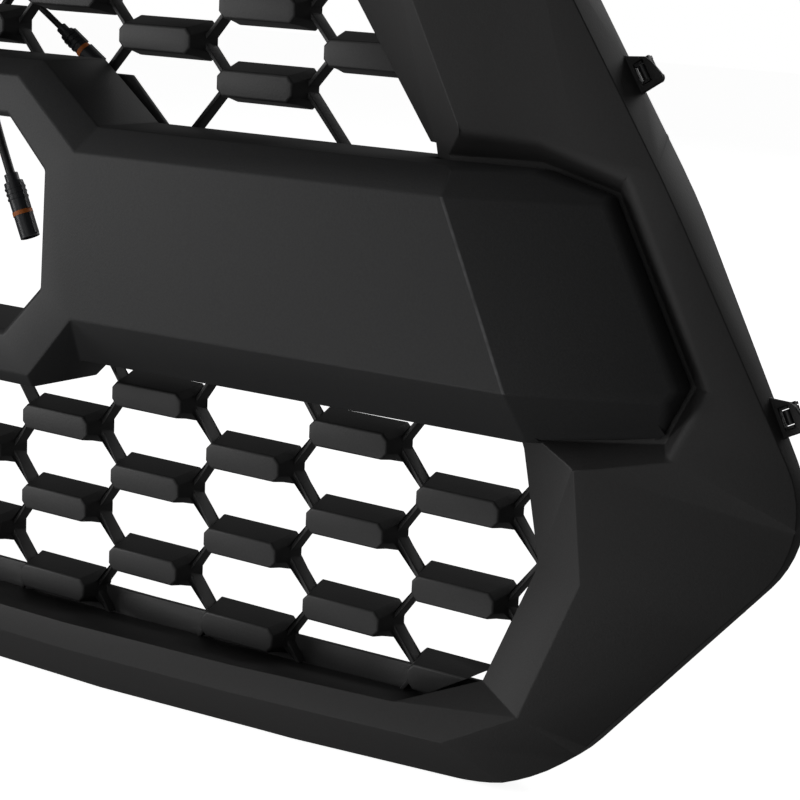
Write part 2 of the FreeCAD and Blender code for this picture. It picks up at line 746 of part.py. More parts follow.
def recessSeat():
    """Space of the recess floor under the crossbar's ends, with a small clearance."""
    drum = sweepDrum(frameSweepR, frameFrontY + recessDepth - seatGap)
    sides = box(upperFootX, wideHalfWidth, -ahead, behindAll, bottomZ, topZ)
    return drum.common(sides.fuse(mirrorX(sides)))


def barRibs(blank):
    half = wall * ribShare
    ribs = []
    for x in barRibX:
        ribs.append(box(x - half, x + half, -ahead, barDrawBackY, barRibFootZ, barRibHeadZ).common(blank))
    for z in barRibZ:
        for side in (-1.0, 1.0):
            low, high = sorted((side * barRibInnerX, side * barRibOuterX))
            ribs.append(box(low, high, -ahead, barDrawBackY, z - half, z + half).common(blank))
    return ribs


# ---- honeycomb ----
def blockRing(x, z, y, halfWide, halfHigh, chamfer):
    points = [(halfWide - chamfer, halfHigh), (halfWide, halfHigh - chamfer),
              (halfWide, chamfer - halfHigh), (halfWide - chamfer, -halfHigh),
              (chamfer - halfWide, -halfHigh), (-halfWide, chamfer - halfHigh),
              (-halfWide, halfHigh - chamfer), (chamfer - halfWide, halfHigh)]
    return [V(x + dx, y, z + dz) for dx, dz in points]


def blockOuter(x, z):
    y = meshY(x)
    w = blockWidth / 2.0
    h = blockHeight / 2.0
    e = blockEdge
    return [blockRing(x, z, y, w - e, h - e, blockChamfer - e * blockEdgeChamfer),
            blockRing(x, z, y + e, w, h, blockChamfer),
            blockRing(x, z, y + blockCrease, w + blockCreaseFlare, h + blockCreaseFlare, blockChamfer),
            blockRing(x, z, y + meshDepth, w + blockFlare, h + blockFlare, blockChamfer)]


def block(x, z):
    """Hollow block: closed in front, open at the back."""
    outer = blockOuter(x, z)
    y = meshY(x)
    w = blockWidth / 2.0 - blockWall
    h = blockHeight / 2.0 - blockWall
    inner = [blockRing(x, z, y + meshDepth, w + blockFlare, h + blockFlare, blockInnerChamfer),
             blockRing(x, z, y + blockFrontWall, w, h, blockInnerChamfer)]
    return ringSolid(outer + inner)


def lampSleeve(x, z):
    """A block left open in front, to hold a marker lamp."""
    outer = blockOuter(x, z)
    y = meshY(x)
    w = blockWidth / 2.0 - blockWall
    h = blockHeight / 2.0 - blockWall
    bore = ringSolid([blockRing(x, z, y - 1.0, w, h, blockInnerChamfer),
                      blockRing(x, z, y + meshDepth + 1.0, w, h, blockInnerChamfer)])
    return ringSolid(outer).cut(bore)


def strut(x1, z1, x2, z2):
    length = math.hypot(x2 - x1, z2 - z1)
    nx = -(z2 - z1) / length
    nz = (x2 - x1) / length
    rings = []
    for behind, width in ((strutFrontY, strutWidth), (strutBackY, strutWidth + strutDraft)):
        half = width / 2.0
        y1 = meshY(x1, behind)
        y2 = meshY(x2, behind)
        rings.append([V(x1 + nx * half, y1, z1 + nz * half), V(x2 + nx * half, y2, z2 + nz * half),
                      V(x2 - nx * half, y2, z2 - nz * half), V(x1 - nx * half, y1, z1 - nz * half)])
    return ringSolid(rings)


def strutsOf(cells, pitch):
    """Each block end is tied to the block ends of the columns beside it."""
    ends = set()
    for k, row in cells:
        for side in (-1, 1):
            for step in (-1, 1):
                first = (k, row) if side > 0 else (k - 1, row + step)
                second = (k + 1, row + step) if side > 0 else (k, row)
                ends.add((first, second))
    lines = []
    for (k1, r1), (k2, r2) in sorted(ends):
        x1, z1 = k1 * columnPitch + strutReach, r1 * pitch
        x2, z2 = k2 * columnPitch - strutReach, r2 * pitch
        stretch1 = 0.0 if (k1, r1) in cells else strutRunOn
        stretch2 = 0.0 if (k2, r2) in cells else strutRunOn
        lines.append((x1 - (x2 - x1) * stretch1, z1 - (z2 - z1) * stretch1,
                      x2 + (x2 - x1) * stretch2, z2 + (z2 - z1) * stretch2))
    return lines


def flangeBand(outerLoop, innerLoop):
    plate = prism(outerLoop, -ahead, behindAll).cut(prism(innerLoop, -ahead, behindAll))
    front = sweepDrum(meshSweepR, meshSeatY)
    back = sweepDrum(meshSweepR, meshSeatY + flangeThick)
    return plate.common(front).cut(back)


def honeycomb(cells, hidden, pitch, zeroZ, outerLoop, innerLoop, sleeves, spots):
    outside = besideOpening(openingGap)
    beside = besideOpening(blockGap)
    blocks = []
    for k, row in cells:
        x = k * columnPitch
        z = zeroZ + row * pitch
        one = lampSleeve(x, z) if (k, row) in sleeves else block(x, z)
        blocks.append(one.cut(beside))
    ring = prism(grown(outerLoop, -strutInset), -ahead, behindAll)
    struts = [strut(x1, z1 + zeroZ, x2, z2 + zeroZ) for x1, z1, x2, z2 in strutsOf(cells + hidden, pitch)]
    trimmed = []
    for one in struts:
        part = one.common(ring).cut(outside)
        trimmed += [solid for solid in part.Solids if solid.Volume > crumb]
    bores = []
    for k, row in cells:
        if (k, row) in sleeves:
            w = blockWidth / 2.0 - blockWall
            h = blockHeight / 2.0 - blockWall
            x = k * columnPitch
            z = zeroZ + row * pitch
            bores.append(box(x - w, x + w, -ahead, behindAll, z - h + boreTrim, z + h - boreTrim))
    band = flangeBand(outerLoop, innerLoop)
    whole = fuse([band] + blocks + trimmed)
    holes = [rod(x, z, screwPassR, -ahead, behindAll) for x, z in spots]
    holes += [spotFace(x, z, meshY(x, meshSeatY + flangeThick)) for x, z in spots]
    return whole.cut(holes + bores + [surroundBlank(0.0).cut(seatDrum())])


def besideOpening(gap):
    """Space in front of the seat, from just inside the surround's opening outwards."""
    loop = openingLoop(gap)
    band = prism(grown(loop, flangeWidth * 2.0), -ahead, meshDepth * 2.0)
    return band.cut([prism(loop, -ahead, behindAll), seatDrum()])


def openingLoop(gap):
    """Edge of the surround's opening beside the honeycombs, less a clearance."""
    points = [(x, z - lowerBarDraft if z < lowerCornerZ - 1.0 else z)
              for x, z in [row[3] for row in frameStations()]]
    return grown(mirrored(points), -gap)


def upperInnerLoop():
    head = [(upperSlopeX, upperTopZ), (upperFootX - 1.0, upperFootZ + 1.0),
            (upperFootX - 8.0, barTopZ - 6.0), (barRootX + 11.0, barTopZ - 6.0),
            (ringTopX + 20.0, ringTopZ - 7.0)]
    return grown(mirrored(head), flangeLap)


def upperOuterLoop():
    head = [(upperSlopeX + 10.0, topZ - 6.0), (upperFootX + 18.0, upperFootZ + 6.0),
            (upperFootX - 16.0, barTopZ - 27.0), (barRootX - 1.0, barTopZ - 27.0),
            (ringTopX + 8.0, holeTopZ + 5.0)]
    return mirrored(head)


def lowerInnerLoop():
    foot = [(lowerHeadX - 8.0, barBottomZ + 2.0), (lowerHeadX + 1.0, lowerHeadZ - 3.0),
            (lowerWideX + 1.0, lowerWideZ), (lowerCornerX + 1.0, lowerCornerZ),
            (lowerCornerX - 13.0, lowerBandZ)]
    return mirrored(foot)


def lowerOuterLoop():
    head = [(holeHalfWidth + 2.0, holeBottomZ - 5.0), (holeHalfWidth + 14.0, barBottomZ + 22.0),
            (lowerHeadX - 22.0, barBottomZ + 22.0), (lowerHeadX + 22.0, lowerHeadZ - 4.0),
            (lowerWideX + 22.0, lowerWideZ), (lowerCornerX + 20.0, lowerCornerZ - 12.0),
            (lowerFootX + 18.0, bottomZ + 12.0)]
    return mirrored(head)


lampCells = [(-2, 3), (2, 3)]
upperCells = ([(k, 0) for k in (-3, 3)] + [(k, 1) for k in (-4, -2, 0, 2, 4)]
              + [(k, 2) for k in (-3, -1, 1, 3)] + [(k, 3) for k in (-2, 0, 2)])
hiddenCells = [(0, 0)]       # no block behind the foot of the emblem ring, only struts
lowerCells = [(k, -row) for row in range(6) for k in range(-5, 6)
              if (k + row) % 2 == 0 and (k, -row) not in hiddenCells]


def upperMesh():
    return honeycomb(upperCells, [], upperRowPitch, upperFirstZ, upperOuterLoop(), upperInnerLoop(),
                     lampCells, bothSides(upperScrews + upperBarScrews))


def lowerMesh():
    return honeycomb(lowerCells, hiddenCells, lowerRowPitch, 0.0, lowerOuterLoop(), lowerInnerLoop(), [],
                     bothSides(lowerScrews + lowerBarScrews))


# ---- screws ----
def screw(x, z, seatY):
    """Pan-head thread-forming screw driven forwards from behind."""
    head = rod(x, z, screwHeadR, seatY, seatY + screwHeadHigh)
    shank = rod(x, z, screwR, seatY - screwLength, seatY)
    tip = Part.makeCone(screwR, screwTipR, screwTipLength, V(x, seatY - screwLength, z), V(0, -1, 0))
    low = seatY + screwHeadHigh - driveDeep
    high = seatY + screwHeadHigh * 2.0
    across = box(x - driveHalf, x + driveHalf, low, high, z - driveSlot, z + driveSlot)
    upright = box(x - driveSlot, x + driveSlot, low, high, z - driveHalf, z + driveHalf)
    return fuse([head, shank, tip]).cut([across, upright])


def meshScrews(spots):
    return Part.makeCompound([screw(x, z, meshY(x, meshSeatY + flangeThick)) for x, z in bothSides(spots)])


def crossbarEndScrews():
    return Part.makeCompound([screw(x, z, frameY(x, recessDepth + wall)) for x, z in bothSides(endScrews)])


# ---- marker lamps ----
lampGap = 0.3
lampWall = 1.4
lampFrontY = 1.5             # lens behind the sleeve's front edge
lampBackY = 33.0
glandR = 3.6
glandLength = 13.0
lensDepth = 7.0
lensFront = 1.6              # lens wall in front
lampChamfer = 1.6
glandIn = 8.0                # block's end to the gland's root
glandUp = 4.6                # gland's middle in front of the housing's back
glandTip = 2.0
glandTipShare = 0.75
lampStop = {"half": 5.0, "high": 2.6, "sunk": 0.4, "near": 0.3, "far": 2.6}
board = {"gap": 0.2, "front": 0.5, "back": 2.1}
chip = {"halfWide": 1.8, "halfHigh": 1.4, "ahead": 0.6}
chipSpots = (-13.0, 0.0, 13.0)


def lampPlace(side):
    return side * 2 * columnPitch, upperFirstZ + 3 * upperRowPitch


def lampExit(side):
    """Middle of the face where the cable leaves the lamp's gland."""
    x, z = lampPlace(side)
    return V(x - side * (blockWidth / 2.0 - glandIn + glandLength), meshY(x, lampBackY - glandUp), z)


def lampBody(side, inset, y1, y2):
    x, z = lampPlace(side)
    w = blockWidth / 2.0 - blockWall - lampGap - inset
    h = blockHeight / 2.0 - blockWall - lampGap - inset
    base = meshY(x)
    return ringSolid([blockRing(x, z, base + y1, w, h, lampChamfer),
                      blockRing(x, z, base + y2, w, h, lampChamfer)])


def lampHousing(side):
    x, z = lampPlace(side)
    base = meshY(x)
    shell = lampBody(side, 0.0, lampFrontY + lensDepth, lampBackY)
    shell = shell.cut(lampBody(side, lampWall, lampFrontY + lensDepth - 1.0, lampBackY - lampWall * 2.0))
    out = lampExit(side)
    neck = Part.makeCylinder(glandR, glandLength, out + V(side * glandLength, 0, 0), V(-side, 0, 0))
    tip = Part.makeCone(glandR, glandR * glandTipShare, glandTip, out + V(side * glandTip, 0, 0),
                        V(-side, 0, 0))
    neck = neck.fuse(tip)
    stops = []
    for up in (-1.0, 1.0):
        edge = z + up * (blockHeight / 2.0 - blockWall - lampGap)
        low, high = sorted((edge - up * lampStop["sunk"], edge + up * lampStop["high"]))
        stops.append(box(x - lampStop["half"], x + lampStop["half"], base + meshDepth + lampStop["near"],
                         base + meshDepth + lampStop["far"], low, high))
    return fuse([shell, neck] + stops)


def lampLens(side):
    front = lampBody(side, 0.0, lampFrontY, lampFrontY + lensDepth)
    return front.cut(lampBody(side, lampWall, lampFrontY + lensFront, lampFrontY + lensDepth + 1.0))


def lampBoard(side):
    """LED board standing in the housing's mouth, with three light sources."""
    x, z = lampPlace(side)
    base = meshY(x)
    seat = lampFrontY + lensDepth
    plate = lampBody(side, lampWall + board["gap"], seat + board["front"], seat + board["back"])
    chips = []
    for dx in chipSpots:
        chips.append(box(x + dx - chip["halfWide"], x + dx + chip["halfWide"],
                         base + seat - chip["ahead"], base + seat + board["front"],
                         z - chip["halfHigh"], z + chip["halfHigh"]))
    return fuse([plate] + chips)


# ---- pigtail cables, as steps from where each leaves its lamp ----
cableLongR = 2.6
cableShortR = 1.8
bendShare = 0.45             # share of the shorter run given to the arc beside it
cableLong = [(0.0, 0.0, 0.0), (-18.0, 0.0, 0.0), (-45.0, 6.0, -0.8), (-73.0, 13.0, -2.8),
             (-100.0, 18.0, -9.8), (-121.0, 18.0, -26.3), (-131.6, 14.5, -49.8), (-131.0, 11.3, -74.3),
             (-122.0, 10.3, -99.3), (-110.0, 10.3, -125.3)]
cableShort = [(0.0, 0.0, 0.0), (18.0, 0.0, 0.0), (42.0, 4.0, -0.8), (65.0, 6.5, -4.3),
              (87.0, 6.5, -12.8), (109.0, 7.5, -24.8), (130.0, 10.3, -40.3)]


def placed(route, side):
    """A route moved to its lamp's exit, in the finished part's own frame."""
    start = lampExit(side) - origin
    return [start + V(*step) for step in route]


def cable(points, radius):
    """Straight runs joined by tangent arcs."""
    edges = []
    radii = []
    start = points[0]
    for before, corner, after in zip(points, points[1:], points[2:]):
        toBack = (before - corner).normalize()
        toNext = (after - corner).normalize()
        halfTurn = (math.pi - toBack.getAngle(toNext)) / 2.0
        reach = bendShare * min((before - corner).Length, (after - corner).Length)
        bend = reach / math.tan(halfTurn)
        radii.append(round(bend))
        inward = (toBack + toNext).normalize()
        centre = corner + inward * (bend / math.cos(halfTurn))
        middle = centre - inward * bend
        edges.append(Part.LineSegment(start, corner + toBack * reach).toShape())
        edges.append(Part.Arc(corner + toBack * reach, middle, corner + toNext * reach).toShape())
        start = corner + toNext * reach
    edges.append(Part.LineSegment(start, points[-1]).toShape())
    path = Part.Wire(edges)
    heading = (points[1] - points[0]).normalize()
    section = Part.Wire(Part.makeCircle(radius, points[0], heading))
    tube = path.makePipeShell([section], True, False)
    ratio = tube.Volume / (math.pi * radius ** 2 * path.Length)
    print("cable radii", radii, "length", round(path.Length, 1), "volume ratio", round(ratio, 4))
    return tube


def alongEnd(route, shape):
    """Put a piece drawn along +X from the origin at a cable's end, pointing onwards."""
    end = route[-1]
    heading = (end - route[-2]).normalize()
    placedShape = shape.copy()
    placedShape.Placement = FreeCAD.Placement(end, FreeCAD.Rotation(V(1, 0, 0), heading))
    return placedShape


plugLong = {"radius": 5.6, "length": 38.0, "bore": 4.4}
plugShort = {"radius": 4.2, "length": 34.0, "bore": 3.2}
collarLength = 5.0
collarShare = 0.72
ribStart = 8.0
ribStep = 3.0
ribWide = 1.0
ribHigh = 0.5
socketDeep = 12.0
keyStart = 7.0
keyWide = 2.4
keyHigh = 1.2
keySunk = 0.4
sealWide = 2.4
sealDeep = 0.7               # groove depth
sealProud = 0.3
sealEnd = 13.4               # groove's rear edge to the mouth
pinLength = 8.0
pinWireR = 0.6
pinSpots = (-0.9, 0.9)


def turned(radius, start, length):
    """Cylinder along +X."""
    return Part.makeCylinder(radius, length, V(start, 0, 0), V(1, 0, 0))


def plugBody(plug):
    """Round sealed connector: collar for the cable, ribbed grip, groove for the seal, open socket."""
    radius, length = plug["radius"], plug["length"]
    barrel = turned(radius, collarLength, length - collarLength)
    ribs = [turned(radius + ribHigh, ribStart + ribStep * i, ribWide) for i in range(3)]
    key = Part.makeBox(length - ribStart, keyWide, keyHigh + keySunk,
                       V(keyStart, -keyWide / 2.0, radius - keySunk))
    start = length - sealEnd - sealWide
    groove = turned(radius * 2.0, start, sealWide).cut(turned(radius - sealDeep, start, sealWide))
    socket = turned(plug["bore"], length - socketDeep, socketDeep)
    return fuse([turned(radius * collarShare, 0.0, collarLength), barrel, key] + ribs).cut([groove, socket])


def plugSeal(plug):
    """Seal ring seated in the connector's groove."""
    radius, start = plug["radius"], plug["length"] - sealEnd - sealWide
    return turned(radius + sealProud, start, sealWide).cut(turned(radius - sealDeep, start, sealWide))


def plugPins(plug):
    start = plug["length"] - socketDeep
    return Part.makeCompound([Part.makeCylinder(pinWireR, pinLength, V(start, y, 0), V(1, 0, 0))
                              for y in pinSpots])


def writePlug(name, route, plug):
    writeInPlace("connector_" + name, alongEnd(route, plugBody(plug)))
    writeInPlace("connector_seal_" + name, alongEnd(route, plugSeal(plug)))
    writeInPlace("connector_pins_" + name, alongEnd(route, plugPins(plug)))


def writeInPlace(name, shape):
    shape.exportStep(os.path.join("parts", name + ".step"))
    print(name, len(shape.Solids), "solid(s)", round(shape.Volume / 1000.0, 2), "cm3", shape.isValid())


# ---- build ----
os.makedirs("parts", exist_ok=True)
write("surround", surround())
write("crossbar", crossbar())
write("upper_mesh", upperMesh())
write("lower_mesh", lowerMesh())
write("upper_mesh_screws", meshScrews(upperScrews + upperBarScrews))
write("lower_mesh_screws", meshScrews(lowerScrews + lowerBarScrews))
write("crossbar_end_screws", crossbarEndScrews())
for tab in tabs:
    write("clip_" + tab["name"] + "_right", clipBody(tab))
    write("clip_" + tab["name"] + "_left", mirrorX(clipBody(tab)))
    write("clip_tongue_" + tab["name"] + "_right", clipTongue(tab))
    write("clip_tongue_" + tab["name"] + "_left", mirrorX(clipTongue(tab)))
for name, side in (("right", 1), ("left", -1)):
    write("lamp_housing_" + name, lampHousing(side))
    write("lamp_lens_" + name, lampLens(side))
    write("lamp_board_" + name, lampBoard(side))
writeInPlace("cable_right", cable(placed(cableLong, 1), cableLongR))
writeInPlace("cable_left", cable(placed(cableShort, -1), cableShortR))
writePlug("right", placed(cableLong, 1), plugLong)
writePlug("left", placed(cableShort, -1), plugShort)
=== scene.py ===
import json
import math
import bpy
from mathutils import Matrix, Vector

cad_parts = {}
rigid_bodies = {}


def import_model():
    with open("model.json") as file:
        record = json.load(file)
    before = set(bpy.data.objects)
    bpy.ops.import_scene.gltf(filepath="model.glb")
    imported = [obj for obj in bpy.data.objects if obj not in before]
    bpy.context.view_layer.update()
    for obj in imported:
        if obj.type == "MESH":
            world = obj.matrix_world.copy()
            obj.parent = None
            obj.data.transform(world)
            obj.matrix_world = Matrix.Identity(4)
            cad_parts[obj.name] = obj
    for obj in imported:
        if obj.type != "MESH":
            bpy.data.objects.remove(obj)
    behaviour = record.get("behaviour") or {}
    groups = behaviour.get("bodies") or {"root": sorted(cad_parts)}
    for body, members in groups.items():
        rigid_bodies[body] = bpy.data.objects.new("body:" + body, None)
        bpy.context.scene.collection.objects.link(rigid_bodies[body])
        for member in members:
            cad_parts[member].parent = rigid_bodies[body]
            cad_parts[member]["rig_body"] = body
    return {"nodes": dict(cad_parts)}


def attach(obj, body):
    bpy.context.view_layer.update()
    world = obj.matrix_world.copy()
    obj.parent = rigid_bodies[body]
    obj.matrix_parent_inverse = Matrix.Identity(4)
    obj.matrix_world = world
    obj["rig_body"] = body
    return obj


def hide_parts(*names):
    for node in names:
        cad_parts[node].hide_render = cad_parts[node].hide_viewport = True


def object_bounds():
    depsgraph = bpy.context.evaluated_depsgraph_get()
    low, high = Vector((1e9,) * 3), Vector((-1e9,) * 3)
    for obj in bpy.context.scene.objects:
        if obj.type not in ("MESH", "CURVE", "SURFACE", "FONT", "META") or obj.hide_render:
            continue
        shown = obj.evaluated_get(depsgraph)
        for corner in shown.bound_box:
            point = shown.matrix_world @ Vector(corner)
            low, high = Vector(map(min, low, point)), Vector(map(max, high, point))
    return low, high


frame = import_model()
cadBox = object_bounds()
nodes = frame["nodes"]
print("frame loaded,", len(nodes), "nodes")

# camera in front of the grille and to its right, about level with its top edge
camera = {"place": (0.89124, -0.89418, -0.02174), "azimuth": 34.59, "elevation": 12.034,
          "roll": 2.72, "lens": 99.0, "sensor": 36.0, "nearClip": 0.01}


def addCamera(c):
    turn, lift, roll = (math.radians(c[k]) for k in ("azimuth", "elevation", "roll"))
    back = Vector((math.sin(turn) * math.cos(lift), -math.cos(turn) * math.cos(lift), math.sin(lift)))
    side = Vector((math.cos(turn), math.sin(turn), 0.0))
    up = back.cross(side)
    right = side * math.cos(roll) + up * math.sin(roll)
    top = up * math.cos(roll) - side * math.sin(roll)
    bpy.ops.object.camera_add(location=c["place"])
    cam = bpy.context.object
    cam.matrix_world = Matrix((
        (right.x, top.x, back.x, c["place"][0]),
        (right.y, top.y, back.y, c["place"][1]),
        (right.z, top.z, back.z, c["place"][2]),
        (0.0, 0.0, 0.0, 1.0)))
    cam.data.lens = c["lens"]
    cam.data.sensor_width = c["sensor"]
    cam.data.clip_start = c["nearClip"]
    bpy.context.scene.camera = cam


addCamera(camera)


# materials
colourMix = {"under": 6, "over": 7, "result": 2}     # a Mix node's colour sockets


def newMaterial(name):
    mat = bpy.data.materials.new(name)
    mat.use_nodes = True
    return mat, mat.node_tree.nodes, mat.node_tree.links, mat.node_tree.nodes["Principled BSDF"]


def node(tree, kind, **values):
    made = tree.new(kind)
    for key, value in values.items():
        setattr(made, key, value)
    return made


def paintedCreaseHighlight(tree, links, where, under, c):
    # a painted highlight: a lighter line along a crease, drawn in the colour. x and z are folded, so it is
    # the same on both halves and z counts down
    folded = node(tree, "ShaderNodeVectorMath", operation="ABSOLUTE")
    links.new(where.outputs["Object"], folded.inputs[0])
    fromTop = node(tree, "ShaderNodeVectorMath", operation="SUBTRACT")
    fromTop.inputs[1].default_value = c["top"]
    links.new(folded.outputs["Vector"], fromTop.inputs[0])
    across = node(tree, "ShaderNodeVectorMath", operation="DOT_PRODUCT")
    across.inputs[1].default_value = c["across"]
    links.new(fromTop.outputs["Vector"], across.inputs[0])
    away = node(tree, "ShaderNodeMath", operation="ABSOLUTE")
    links.new(across.outputs["Value"], away.inputs[0])
    line = node(tree, "ShaderNodeMapRange")
    line.inputs["From Min"].default_value = c["width"] * c["core"]
    line.inputs["From Max"].default_value = c["width"]
    line.inputs["To Min"].default_value = c["strength"]
    line.inputs["To Max"].default_value = 0.0
    links.new(away.outputs["Value"], line.inputs["Value"])
    # noise makes the painted highlight uneven along the crease
    highlightBreakup = node(tree, "ShaderNodeTexNoise")
    highlightBreakup.inputs["Scale"].default_value = c["highlightBreakupScale"]
    links.new(where.outputs["Object"], highlightBreakup.inputs["Vector"])
    uneven = node(tree, "ShaderNodeMath", operation="MULTIPLY")
    links.new(line.outputs["Result"], uneven.inputs[0])
    links.new(highlightBreakup.outputs["Fac"], uneven.inputs[1])
    heights = node(tree, "ShaderNodeSeparateXYZ")
    links.new(fromTop.outputs["Vector"], heights.inputs["Vector"])
    between = node(tree, "ShaderNodeMath", operation="COMPARE")
    between.inputs[1].default_value = c["fall"] / 2.0
    between.inputs[2].default_value = c["fall"] / 2.0
    links.new(heights.outputs["Z"], between.inputs[0])
    kept = node(tree, "ShaderNodeMath", operation="MULTIPLY")
    links.new(uneven.outputs["Value"], kept.inputs[0])
    links.new(between.outputs["Value"], kept.inputs[1])
    # the painted highlight: the crease line is mixed towards a lighter colour
    paintedHighlight = node(tree, "ShaderNodeMix", data_type="RGBA")
    paintedHighlight.inputs[colourMix["over"]].default_value = (*c["colour"], 1.0)
    links.new(kept.outputs["Value"], paintedHighlight.inputs["Factor"])
    links.new(under, paintedHighlight.inputs[colourMix["under"]])
    return paintedHighlight.outputs[colourMix["result"]]


def mouldedPlastic(name, m):
    mat, tree, links, bsdf = newMaterial(name)
    where = node(tree, "ShaderNodeTexCoord")
    blotch = node(tree, "ShaderNodeTexNoise")          # slow change of tone over the moulding
    blotch.inputs["Scale"].default_value = m["blotchScale"]
    blotch.inputs["Detail"].default_value = m["blotchDetail"]
    links.new(where.outputs["Object"], blotch.inputs["Vector"])
    tone = node(tree, "ShaderNodeValToRGB")
    tone.color_ramp.elements[0].position = m["blotchRange"][0]
    tone.color_ramp.elements[1].position = m["blotchRange"][1]
    tone.color_ramp.elements[0].color = (*[c * (1.0 - m["blotch"]) for c in m["colour"]], 1.0)
    tone.color_ramp.elements[1].color = (*[c * (1.0 + m["blotch"]) for c in m["colour"]], 1.0)
    links.new(blotch.outputs["Fac"], tone.inputs["Fac"])

    grain = node(tree, "ShaderNodeTexNoise")           # spark-eroded mould grain
    grain.inputs["Scale"].default_value = m["grainScale"]
    grain.inputs["Detail"].default_value = m["grainDetail"]
    links.new(where.outputs["Object"], grain.inputs["Vector"])
    grainTone = node(tree, "ShaderNodeMapRange")
    grainTone.inputs["From Min"].default_value = m["grainRange"][0]
    grainTone.inputs["From Max"].default_value = m["grainRange"][1]
    grainTone.inputs["To Min"].default_value = 1.0 - m["grainTone"]
    grainTone.inputs["To Max"].default_value = 1.0 + m["grainTone"]
    links.new(grain.outputs["Fac"], grainTone.inputs["Value"])
    grained = node(tree, "ShaderNodeVectorMath", operation="SCALE")
    links.new(tone.outputs["Color"], grained.inputs[0])
    links.new(grainTone.outputs["Result"], grained.inputs["Scale"])

    speck = node(tree, "ShaderNodeTexVoronoi")         # lint and dust caught in the grain
    speck.inputs["Scale"].default_value = m["speckScale"]
    links.new(where.outputs["Object"], speck.inputs["Vector"])
    patch = node(tree, "ShaderNodeTexNoise")           # specks lie only in some places
    patch.inputs["Scale"].default_value = m["speckScale"] * m["patchShare"]
    links.new(where.outputs["Object"], patch.inputs["Vector"])
    reach = node(tree, "ShaderNodeMapRange")
    reach.inputs["From Min"].default_value = m["patchRange"][0]
    reach.inputs["From Max"].default_value = m["patchRange"][1]
    reach.inputs["To Min"].default_value = 0.0
    reach.inputs["To Max"].default_value = m["speckSize"]
    links.new(patch.outputs["Fac"], reach.inputs["Value"])
    inside = node(tree, "ShaderNodeMath", operation="LESS_THAN")
    links.new(speck.outputs["Distance"], inside.inputs[0])
    links.new(reach.outputs["Result"], inside.inputs[1])
    dusted = node(tree, "ShaderNodeMix", data_type="RGBA")
    dusted.inputs[colourMix["over"]].default_value = (*m["dust"], 1.0)
    links.new(inside.outputs["Value"], dusted.inputs["Factor"])
    links.new(grained.outputs["Vector"], dusted.inputs[colourMix["under"]])
    colour = dusted.outputs[colourMix["result"]]
    # a painted highlight along the crossbar's end crease, laid over the colour
    if m["crease"]:
        colour = paintedCreaseHighlight(tree, links, where, colour, m["crease"])
    links.new(colour, bsdf.inputs["Base Color"])

    shine = node(tree, "ShaderNodeMapRange")
    shine.inputs["To Min"].default_value = m["roughness"] - m["roughSpread"]
    shine.inputs["To Max"].default_value = m["roughness"] + m["roughSpread"]
    links.new(blotch.outputs["Fac"], shine.inputs["Value"])
    links.new(shine.outputs["Result"], bsdf.inputs["Roughness"])
    bump = node(tree, "ShaderNodeBump")
    bump.inputs["Strength"].default_value = m["grainDepth"]
    bump.inputs["Distance"].default_value = m["grainHeight"]
    links.new(grain.outputs["Fac"], bump.inputs["Height"])
    links.new(bump.outputs["Normal"], bsdf.inputs["Normal"])
    bsdf.inputs["Specular IOR Level"].default_value = m["specular"]
    return mat


surroundFinish = {"colour": (0.0185, 0.0180, 0.0180), "crease": None,
                  "blotchScale": 5.0, "blotchDetail": 3.0, "blotchRange": (0.35, 0.65), "blotch": 0.05,
                  "grainScale": 900.0, "grainDetail": 2.0, "grainRange": (0.3, 0.7), "grainTone": 0.10,
                  "grainDepth": 0.35, "grainHeight": 0.0002,
                  "speckScale": 45.0, "speckSize": 0.035, "dust": (0.22, 0.22, 0.22),
                  "patchShare": 0.9, "patchRange": (0.62, 0.72),
                  "roughness": 0.56, "roughSpread": 0.04, "specular": 0.35}
# the crossbar's painted highlight along its end crease: where it runs, how wide it is, and its lighter
# colour
barCreaseHighlight = {"top": (0.340, 0.0, 0.1385), "across": (0.9138, 0.0, -0.4061), "fall": 0.0855,
             "width": 0.0009, "core": 0.4, "strength": 0.9, "highlightBreakupScale": 160.0,
             "colour": (0.17, 0.17, 0.175)}
crossbarFinish = dict(surroundFinish, colour=(0.026, 0.0262, 0.0268), speckScale=60.0, crease=barCreaseHighlight)
meshFinish = dict(surroundFinish, colour=(0.024, 0.0238, 0.024), roughness=0.50)
clipFinish = dict(surroundFinish, colour=(0.014, 0.014, 0.0145), grainDepth=0.1, roughness=0.42,
                  specular=0.5)
tongueFinish = dict(clipFinish, colour=(0.012, 0.012, 0.013), roughness=0.34)
housingFinish = dict(clipFinish, colour=(0.018, 0.018, 0.019), roughness=0.48)
plugFinish = dict(clipFinish, colour=(0.035, 0.037, 0.041), roughness=0.38, grainScale=1600.0)
boardFinish = dict(clipFinish, colour=(0.62, 0.64, 0.60), roughness=0.5, dust=(0.8, 0.7, 0.3))
sealFinish = dict(clipFinish, colour=(0.62, 0.16, 0.02), roughness=0.55)

surroundPlastic = mouldedPlastic("surroundPlastic", surroundFinish)
crossbarPlastic = mouldedPlastic("crossbarPlastic", crossbarFinish)
meshPlastic = mouldedPlastic("meshPlastic", meshFinish)
clipNylon = mouldedPlastic("clipNylon", clipFinish)
tongueNylon = mouldedPlastic("tongueNylon", tongueFinish)
lampHousingPlastic = mouldedPlastic("lampHousingPlastic", housingFinish)
plugPlastic = mouldedPlastic("plugPlastic", plugFinish)
boardMask = mouldedPlastic("boardMask", boardFinish)
sealRubber = mouldedPlastic("sealRubber", sealFinish)


